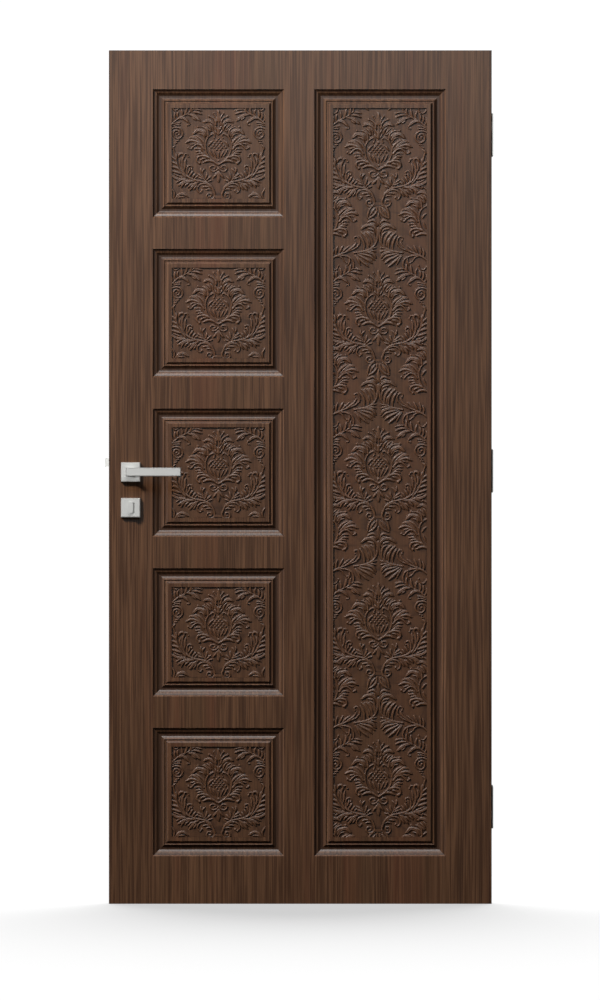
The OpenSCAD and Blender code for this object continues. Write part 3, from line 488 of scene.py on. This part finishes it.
# Where a palmette's foot lies below the middle of a square board and the top of the tall one
SQUARE_FOOT, TALL_FOOT = 0.028, 0.149
SQUARE_SHIFT, TALL_SHIFT = 0, 3.5
SQUARE_STRETCH, TALL_STRETCH = (0.97, 0.956), (1, 1)
SQUARES = 5
TALL_PARTS = 5
carved = []
for row in range(1, SQUARES + 1):
    node = f"carved_panel_{row}"
    near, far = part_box(node)
    foot = (near[2] + far[2]) / 2 - SQUARE_FOOT
    carved.append(carved_piece(f"square_carving_{row}", node, near[2], far[2],
                               foot, SQUARE_SHIFT, SQUARE_STRETCH, *square_pattern))
near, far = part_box("carved_panel_tall")
step = (far[2] - near[2]) / TALL_PARTS
for part in range(TALL_PARTS):
    low = near[2] + part * step
    carved.append(carved_piece(f"tall_carving_{part + 1}", "carved_panel_tall", low, low + step,
                               far[2] - TALL_FOOT, TALL_SHIFT, TALL_STRETCH, *tall_pattern))


# Lock springs, which shorten in the lock as the lever draws the latch in; each coil here rides the leaf at
# one length
WIRE, WIRE_SIDES, TURN_STEPS = 0.0009, 8, 24


def coil_spring(name, node, turns):
    """A round wire along a helix in its node's place."""
    near, far = (np.array(corner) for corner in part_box(node))
    middle = (near + far) / 2
    steps = turns * TURN_STEPS
    along = np.linspace(near[0] + WIRE / 2, far[0] - WIRE / 2, steps + 1)[:, None]
    turn = np.linspace(0, 2 * math.pi * turns, steps + 1)[:, None]
    ring = np.arange(WIRE_SIDES) * 2 * math.pi / WIRE_SIDES
    radius = (far[2] - near[2]) / 2 - WIRE / 2 + WIRE / 2 * np.cos(ring)
    points = np.stack([
        along + WIRE / 2 * np.sin(ring),
        middle[1] + radius * np.cos(turn),
        middle[2] + radius * np.sin(turn)], axis=-1).reshape(-1, 3)
    faces = []
    for step in range(steps):
        a, b = step * WIRE_SIDES, (step + 1) * WIRE_SIDES
        for side in range(WIRE_SIDES):
            beyond = (side + 1) % WIRE_SIDES
            faces.append((a + side, a + beyond, b + beyond, b + side))
    faces.append(tuple(reversed(range(WIRE_SIDES))))
    faces.append(tuple(steps * WIRE_SIDES + side for side in range(WIRE_SIDES)))
    mesh = bpy.data.meshes.new(name)
    mesh.from_pydata(points.tolist(), [], faces)
    mesh.polygons.foreach_set("use_smooth", np.ones(len(faces), bool))
    piece = bpy.data.objects.new(name, mesh)
    bpy.context.collection.objects.link(piece)
    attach(piece, "leaf")
    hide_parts(node)
    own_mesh(piece)
    return piece


springs = [
    coil_spring("latch_coil", "latch_spring", 8),
    coil_spring("return_coil", "return_spring", 10),
]


# Materials
def material(name):
    """A new material, its node tree and its shader."""
    made = bpy.data.materials.new(name)
    made.use_nodes = True
    return made, made.node_tree, made.node_tree.nodes["Principled BSDF"]


def noise(tree, source, scale, detail, rough=0.55, distortion=0.0):
    """A noise texture stretched by its own scale along X, Y and Z."""
    mapping = tree.nodes.new("ShaderNodeMapping")
    mapping.inputs["Scale"].default_value = scale
    tree.links.new(source, mapping.inputs["Vector"])
    made = tree.nodes.new("ShaderNodeTexNoise")
    made.inputs["Scale"].default_value = 1
    made.inputs["Detail"].default_value = detail
    made.inputs["Roughness"].default_value = rough
    made.inputs["Distortion"].default_value = distortion
    tree.links.new(mapping.outputs["Vector"], made.inputs["Vector"])
    return made.outputs["Fac"]


def ramp(tree, value, low, high):
    """A value spread from 0 at low to 1 at high."""
    made = tree.nodes.new("ShaderNodeMapRange")
    made.interpolation_type = "SMOOTHSTEP"
    made.inputs["From Min"].default_value = low
    made.inputs["From Max"].default_value = high
    tree.links.new(value, made.inputs["Value"])
    return made.outputs["Result"]


def mix(tree, factor, a, b, blend="MIX"):
    """A mix of two colours, each given as a socket or a plain colour."""
    made = tree.nodes.new("ShaderNodeMix")
    made.data_type = "RGBA"
    made.blend_type = blend
    for socket, value in ((made.inputs[0], factor), (made.inputs[6], a), (made.inputs[7], b)):
        if isinstance(value, bpy.types.NodeSocket):
            tree.links.new(value, socket)
        else:
            socket.default_value = value
    return made.outputs[2]


def math_node(tree, operation, a, b):
    """The result of a sum on two values, each given as a socket or a plain number."""
    made = tree.nodes.new("ShaderNodeMath")
    made.operation = operation
    for socket, value in ((made.inputs[0], a), (made.inputs[1], b)):
        if isinstance(value, bpy.types.NodeSocket):
            tree.links.new(value, socket)
        else:
            socket.default_value = value
    return made.outputs[0]


def distance(tree, value, centre):
    """How far a value lies from a centre, on either side."""
    return math_node(tree, "ABSOLUTE", math_node(tree, "SUBTRACT", value, centre), 0)


def opposite(tree, mask):
    """A mask turned round."""
    return math_node(tree, "SUBTRACT", 1, mask)


def tinted(tree, colour, mask, share, tint):
    """A colour with a share of a tint over it where a mask is 1."""
    return mix(tree, math_node(tree, "MULTIPLY", mask, share), colour, tint)


def rgb(r, g, b):
    """A colour that hides what is behind it."""
    return (r, g, b, 1.0)


# Walnut colours
DARK_STREAK, LIGHT_STREAK = rgb(0.059, 0.0232, 0.0088), rgb(0.129, 0.0590, 0.0270)
DIM_BAND, BRIGHT_BAND = rgb(0.87, 0.855, 0.83), rgb(1.13, 1.145, 1.17)
RED_WOOD, WARM_WOOD = rgb(0.1375, 0.044, 0.0194), rgb(0.0935, 0.0458, 0.0184)
DARK_FIBRE = rgb(0.0495, 0.0176, 0.00714)
# The dark of the lipping's seam, and painted shade in grooves, hollows and along the edges
SEAM_DARK_AND_SHADE = rgb(0.022, 0.00792, 0.0034)
CARVED_WOOD = rgb(0.0905, 0.0395, 0.0172)

# Places on the leaf, in metres: its edges, the lipping's seam, and the reach of the panel frames
EDGE = 0.4575
SEAM = 0.0055
LEAF_HALF = 0.020
LEAF_MIDDLE = 1.02
PANELS_X, PANELS_Z, FADE = 0.40, 0.96, 0.01

# Depths below the leaf's face that get painted shade: one crease, and the deep grooves
CREASE = 0.0032
GROOVE, GROOVE_FULL = 0.0042, 0.0085

# The lacquer's shine and the pores below it
SHINE = 0.2
PORE_STRENGTH, PORE_DEPTH = 0.25, 0.0004


def wood_group():
    """Upright walnut grain: its colour with painted shade, its roughness and its pores."""
    tree = bpy.data.node_groups.new("walnut_grain", "ShaderNodeTree")
    tree.interface.new_socket("Color", in_out="OUTPUT", socket_type="NodeSocketColor")
    tree.interface.new_socket("Roughness", in_out="OUTPUT", socket_type="NodeSocketFloat")
    tree.interface.new_socket("Height", in_out="OUTPUT", socket_type="NodeSocketFloat")
    out = tree.nodes.new("NodeGroupOutput")
    place = tree.nodes.new("ShaderNodeTexCoord").outputs["Object"]
    red = noise(tree, place, (12, 12, 0.4), 3, 0.6, 0.4)
    warm = noise(tree, place, (11, 9, 0.7), 2, 0.5, 0.3)
    bands = noise(tree, place, (80, 80, 1.8), 3, 0.55, 0.4)
    streaks = noise(tree, place, (260, 260, 4.5), 2, 0.5, 0.3)
    fibres = noise(tree, place, (420, 420, 8), 3, 0.6)
    colour = mix(tree, ramp(tree, streaks, 0.36, 0.64), DARK_STREAK, LIGHT_STREAK)
    shade = mix(tree, ramp(tree, bands, 0.36, 0.64), DIM_BAND, BRIGHT_BAND)
    colour = mix(tree, 1.0, colour, shade, "MULTIPLY")
    colour = tinted(tree, colour, ramp(tree, red, 0.5, 0.66), 0.38, RED_WOOD)
    colour = tinted(tree, colour, ramp(tree, warm, 0.5, 0.68), 0.3, WARM_WOOD)
    colour = tinted(tree, colour, ramp(tree, fibres, 0.52, 0.72), 0.35, DARK_FIBRE)
    # The dark seam of the lipping, and painted shade along the rim of the edges
    axes = tree.nodes.new("ShaderNodeSeparateXYZ")
    tree.links.new(place, axes.inputs[0])
    sideways = distance(tree, axes.outputs["X"], 0)
    seam = opposite(tree, ramp(tree, distance(tree, axes.outputs["X"], EDGE - SEAM), 0.0005, 0.0018))
    rim = ramp(tree, sideways, EDGE - 0.0025, EDGE - 0.0008)
    colour = tinted(tree, colour, math_node(tree, "MAXIMUM", seam, rim), 0.6, SEAM_DARK_AND_SHADE)
    # Painted shade in one crease and the deep grooves of the panel frames
    carving = tree.nodes.new("ShaderNodeAttribute")
    carving.attribute_name = SMOOTH
    upright = distance(tree, axes.outputs["Z"], LEAF_MIDDLE)
    outside = math_node(tree, "MAXIMUM", ramp(tree, sideways, PANELS_X, PANELS_X + FADE),
                        ramp(tree, upright, PANELS_Z, PANELS_Z + FADE))
    outside = math_node(tree, "MAXIMUM", outside, carving.outputs["Fac"])
    depth = math_node(tree, "SUBTRACT", LEAF_HALF, distance(tree, axes.outputs["Y"], 0))
    crease = opposite(tree, ramp(tree, distance(tree, depth, CREASE), 0.0003, 0.0007))
    groove_shade = math_node(tree, "MAXIMUM", crease, ramp(tree, depth, GROOVE, GROOVE_FULL))
    groove_shade = math_node(tree, "MULTIPLY", groove_shade, opposite(tree, outside))
    colour = tinted(tree, colour, groove_shade, 0.66, SEAM_DARK_AND_SHADE)
    # The carving's calmer tone, and painted shade in its hollows
    colour = tinted(tree, colour, carving.outputs["Fac"], 0.55, CARVED_WOOD)
    hollow_shade = tree.nodes.new("ShaderNodeAttribute")
    hollow_shade.attribute_name = HOLLOW_SHADE
    colour = tinted(tree, colour, ramp(tree, hollow_shade.outputs["Fac"], 0.12, 0.75), 0.75, SEAM_DARK_AND_SHADE)
    tree.links.new(colour, out.inputs["Color"])
    rough = math_node(tree, "ADD", math_node(tree, "MULTIPLY", fibres, 0.14), 0.34)
    tree.links.new(rough, out.inputs["Roughness"])
    tree.links.new(fibres, out.inputs["Height"])
    return tree


def walnut():
    """Dark lacquered walnut, with pores."""
    made, tree, shader = material("dark_walnut")
    group = tree.nodes.new("ShaderNodeGroup")
    group.node_tree = wood_group()
    bump = tree.nodes.new("ShaderNodeBump")
    bump.inputs["Strength"].default_value = PORE_STRENGTH
    bump.inputs["Distance"].default_value = PORE_DEPTH
    tree.links.new(group.outputs["Height"], bump.inputs["Height"])
    # The mouldings keep crisp arrises: off the carving, each face is shaded by itself
    surface = tree.nodes.new("ShaderNodeNewGeometry")
    carving = tree.nodes.new("ShaderNodeAttribute")
    carving.attribute_name = SMOOTH
    facing = tree.nodes.new("ShaderNodeMix")
    facing.data_type = "VECTOR"
    tree.links.new(carving.outputs["Fac"], facing.inputs[0])
    tree.links.new(surface.outputs["True Normal"], facing.inputs[4])
    tree.links.new(surface.outputs["Normal"], facing.inputs[5])
    tree.links.new(facing.outputs[1], bump.inputs["Normal"])
    shader.inputs["Specular IOR Level"].default_value = SHINE
    tree.links.new(group.outputs["Color"], shader.inputs["Base Color"])
    tree.links.new(group.outputs["Roughness"], shader.inputs["Roughness"])
    tree.links.new(bump.outputs["Normal"], shader.inputs["Normal"])
    return made


def timber(name, light, dark, scale):
    """Raw wood or board between two colours."""
    made, tree, shader = material(name)
    place = tree.nodes.new("ShaderNodeTexCoord").outputs["Object"]
    grain = noise(tree, place, scale, 4)
    tree.links.new(mix(tree, ramp(tree, grain, 0.3, 0.7), light, dark), shader.inputs["Base Color"])
    shader.inputs["Roughness"].default_value = 0.7
    return made


def metal(name, light, dark, metallic, rough, scale):
    """Brushed metal between two colours."""
    made, tree, shader = material(name)
    place = tree.nodes.new("ShaderNodeTexCoord").outputs["Object"]
    brushed = noise(tree, place, scale, 3)
    tree.links.new(mix(tree, brushed, dark, light), shader.inputs["Base Color"])
    shader.inputs["Metallic"].default_value = metallic
    spread = math_node(tree, "ADD", math_node(tree, "MULTIPLY", brushed, 0.12), rough)
    tree.links.new(spread, shader.inputs["Roughness"])
    return made


# Square roses: the middle of both, their half side, their face and the border with a painted highlight
ROSE_X = -0.4055
ROSE_HEIGHTS = (1.032, 0.947)
ROSE_HALF = 0.023
ROSE_FACE = 0.0305
ARRIS = 0.0012
LIGHT_NICKEL, DARK_NICKEL = rgb(0.6, 0.6, 0.58), rgb(0.52, 0.52, 0.5)
# Painted highlight along the borders of the roses
HIGHLIGHT_NICKEL = rgb(0.84, 0.82, 0.78)


def nickel():
    """Satin nickel, with a painted highlight along the borders of the square roses."""
    made = metal("satin_nickel", LIGHT_NICKEL, DARK_NICKEL, 0.35, 0.36, (30, 900, 900))
    tree = made.node_tree
    base = tree.nodes["Principled BSDF"].inputs["Base Color"]
    axes = tree.nodes.new("ShaderNodeSeparateXYZ")
    tree.links.new(tree.nodes.new("ShaderNodeTexCoord").outputs["Object"], axes.inputs[0])
    upright = [distance(tree, axes.outputs["Z"], height) for height in ROSE_HEIGHTS]
    border = math_node(tree, "MAXIMUM", distance(tree, axes.outputs["X"], ROSE_X),
                       math_node(tree, "MINIMUM", *upright))
    beyond = ramp(tree, border, ROSE_HALF + 0.5 * ARRIS, ROSE_HALF + ARRIS)
    raised = ramp(tree, distance(tree, axes.outputs["Y"], 0), ROSE_FACE, ROSE_FACE + ARRIS)
    band = math_node(tree, "MULTIPLY", ramp(tree, border, ROSE_HALF - 2 * ARRIS, ROSE_HALF - ARRIS),
                     opposite(tree, math_node(tree, "MAXIMUM", beyond, raised)))
    # The painted highlight along the rose borders
    tree.links.new(mix(tree, band, base.links[0].from_socket, HIGHLIGHT_NICKEL), base)
    return made


finish = {
    "dark_walnut": walnut(),
    "core_timber": timber("core_timber", rgb(0.5, 0.32, 0.17), rgb(0.36, 0.21, 0.1), (60, 60, 2)),
    "core_board": timber("core_board", rgb(0.3, 0.2, 0.11), rgb(0.17, 0.11, 0.06), (400, 400, 400)),
    "satin_nickel": nickel(),
    "plated_steel": metal("plated_steel", rgb(0.62, 0.62, 0.62), rgb(0.5, 0.5, 0.5), 1, 0.3,
                          (200, 200, 200)),
    "spring_steel": metal("spring_steel", rgb(0.4, 0.4, 0.42), rgb(0.3, 0.3, 0.32), 1, 0.35,
                          (300, 300, 300)),
}
slots = {part["node"]: part["material_slot"] for part in frame["record"]["subparts"]}
for name, shown in frame["nodes"].items():
    shown.data.materials.clear()
    shown.data.materials.append(finish[slots[name]])
for piece in carved:
    piece.data.materials.append(finish["dark_walnut"])
for piece in springs:
    piece.data.materials.append(finish["spring_steel"])


# Floor, background, lights and camera
FLOOR_GLOW = 0.62
FLOOR_LIT, FLOOR_DARK = rgb(0.08, 0.08, 0.08), rgb(0.012, 0.012, 0.012)


def floor_material():
    """White to the camera, apart from the leaf's shadow, and dark to the leaf."""
    made = bpy.data.materials.new("floor")
    made.use_nodes = True
    tree = made.node_tree
    tree.nodes.clear()
    out = tree.nodes.new("ShaderNodeOutputMaterial")
    seen = tree.nodes.new("ShaderNodeLightPath").outputs["Is Camera Ray"]
    glow = tree.nodes.new("ShaderNodeEmission")
    glow.inputs["Strength"].default_value = FLOOR_GLOW
    lit = tree.nodes.new("ShaderNodeBsdfDiffuse")
    lit.inputs["Color"].default_value = FLOOR_LIT
    both = tree.nodes.new("ShaderNodeAddShader")
    plain = tree.nodes.new("ShaderNodeBsdfDiffuse")
    plain.inputs["Color"].default_value = FLOOR_DARK
    pick = tree.nodes.new("ShaderNodeMixShader")
    tree.links.new(glow.outputs[0], both.inputs[0])
    tree.links.new(lit.outputs[0], both.inputs[1])
    tree.links.new(seen, pick.inputs["Fac"])
    tree.links.new(plain.outputs[0], pick.inputs[1])
    tree.links.new(both.outputs[0], pick.inputs[2])
    tree.links.new(pick.outputs[0], out.inputs["Surface"])
    return made


FLOOR_SIZE = 60
bpy.ops.mesh.primitive_plane_add(size=FLOOR_SIZE, location=(0, 0, 0))
floor = bpy.context.object
floor.name = "floor"
floor.data.materials.append(floor_material())

BACKGROUND, AMBIENT = 1.05, 0.1


def studio_world():
    """A white background to the camera, and a weak even light on the object."""
    world = bpy.data.worlds.new("studio")
    world.use_nodes = True
    tree = world.node_tree
    tree.nodes.clear()
    seen = tree.nodes.new("ShaderNodeLightPath").outputs["Is Camera Ray"]
    pick = tree.nodes.new("ShaderNodeMixShader")
    tree.links.new(seen, pick.inputs["Fac"])
    for socket, strength in ((pick.inputs[1], AMBIENT), (pick.inputs[2], BACKGROUND)):
        white = tree.nodes.new("ShaderNodeBackground")
        white.inputs["Color"].default_value = rgb(1, 1, 1)
        white.inputs["Strength"].default_value = strength
        tree.links.new(white.outputs[0], socket)
    out = tree.nodes.new("ShaderNodeOutputWorld")
    tree.links.new(pick.outputs[0], out.inputs["Surface"])
    return world


bpy.context.scene.world = studio_world()


def area_light(name, place, target, width, height, power):
    """A soft rectangular light at a place, facing a target."""
    lamp = bpy.data.lights.new(name, "AREA")
    lamp.shape = "RECTANGLE"
    lamp.size, lamp.size_y = width, height
    lamp.energy = power
    shown = bpy.data.objects.new(name, lamp)
    bpy.context.collection.objects.link(shown)
    aim = [t - p for t, p in zip(target, place)]
    flat = math.hypot(aim[0], aim[1])
    shown.location = place
    shown.rotation_euler = (math.atan2(flat, -aim[2]), 0, math.atan2(aim[1], aim[0]) - math.pi / 2)
    return shown


key = area_light("key", (-4.1, -3.2, 5.7), (0, 0, 1), 0.9, 0.9, 720)
sheen = area_light("sheen", (0, -4.2, 4.4), (0, 0, 1.6), 2.6, 1.4, 520)
above = area_light("above", (0, -1.4, 4.8), (0, 0, 1), 3, 1.6, 34)
beside = area_light("beside", (-3.8, -1.4, 1.4), (0, 0, 1), 1.6, 2.6, 38)
# These three only add shine
for lamp in (sheen, above, beside):
    lamp.visible_diffuse = False
rear = area_light("rear", (2.2, 3.4, 3.4), (0, 0, 1.2), 1.2, 1.2, 160)

# Sky light for the floor alone, leaning from behind, so the leaf's soft shadow lies in front of it
SKY_POWER = 18
SKY_SPREAD, SKY_LEAN = math.radians(46), math.radians(-31)
sky = bpy.data.lights.new("sky", "SUN")
sky.energy = SKY_POWER
sky.angle = SKY_SPREAD
sky_lamp = bpy.data.objects.new("sky", sky)
bpy.context.collection.objects.link(sky_lamp)
sky_lamp.rotation_euler = (SKY_LEAN, 0, 0)
floor_only = bpy.data.collections.new("floor_only")
floor_only.objects.link(floor)
sky_lamp.light_linking.receiver_collection = floor_only


def all_but(name, *left_out):
    """A light's list that leaves out some objects."""
    made = bpy.data.collections.new(name)
    for shown in left_out:
        made.objects.link(shown)
    for entry in made.collection_objects:
        entry.light_linking.link_state = "EXCLUDE"
    return made


not_floor = all_but("not_floor", floor)
for lamp in (sheen, above, beside, rear):
    lamp.light_linking.receiver_collection = not_floor
key.light_linking.blocker_collection = all_but("not_lever", frame["nodes"]["front_lever"])

# The fittings have a light of their own, nearer the camera, for their narrow shadows
FITTINGS = ("front_lever", "thumb_turn", "front_rose_cover", "front_turn_cover")
fittings = bpy.data.collections.new("fittings")
for name in FITTINGS:
    fittings.objects.link(frame["nodes"][name])
fitting_light = area_light("fittings", (-1.9, -4, 1.25), (-0.4, 0, 1), 0.5, 0.5, 66)
fitting_light.light_linking.receiver_collection = fittings
key.light_linking.receiver_collection = all_but("not_fittings", floor, *fittings.objects)

# The camera sees the leaf's face at the photograph's scale, in metres a pixel
SCALE = 0.00239
PICTURE_HEIGHT = 1000
SENSOR = 36
DISTANCE = 15.0
CAMERA_X, CAMERA_HEIGHT = -0.0007, 0.9652
lens = bpy.data.cameras.new("camera")
lens.sensor_fit = "VERTICAL"
lens.sensor_height = SENSOR
lens.lens = SENSOR * DISTANCE / (PICTURE_HEIGHT * SCALE)
camera = bpy.data.objects.new("camera", lens)
bpy.context.collection.objects.link(camera)
camera.location = (CAMERA_X, -LEAF_HALF - DISTANCE, CAMERA_HEIGHT)
camera.rotation_euler = (math.pi / 2, 0, 0)
bpy.context.scene.camera = camera
bpy.context.scene.view_settings.view_transform = "Standard"
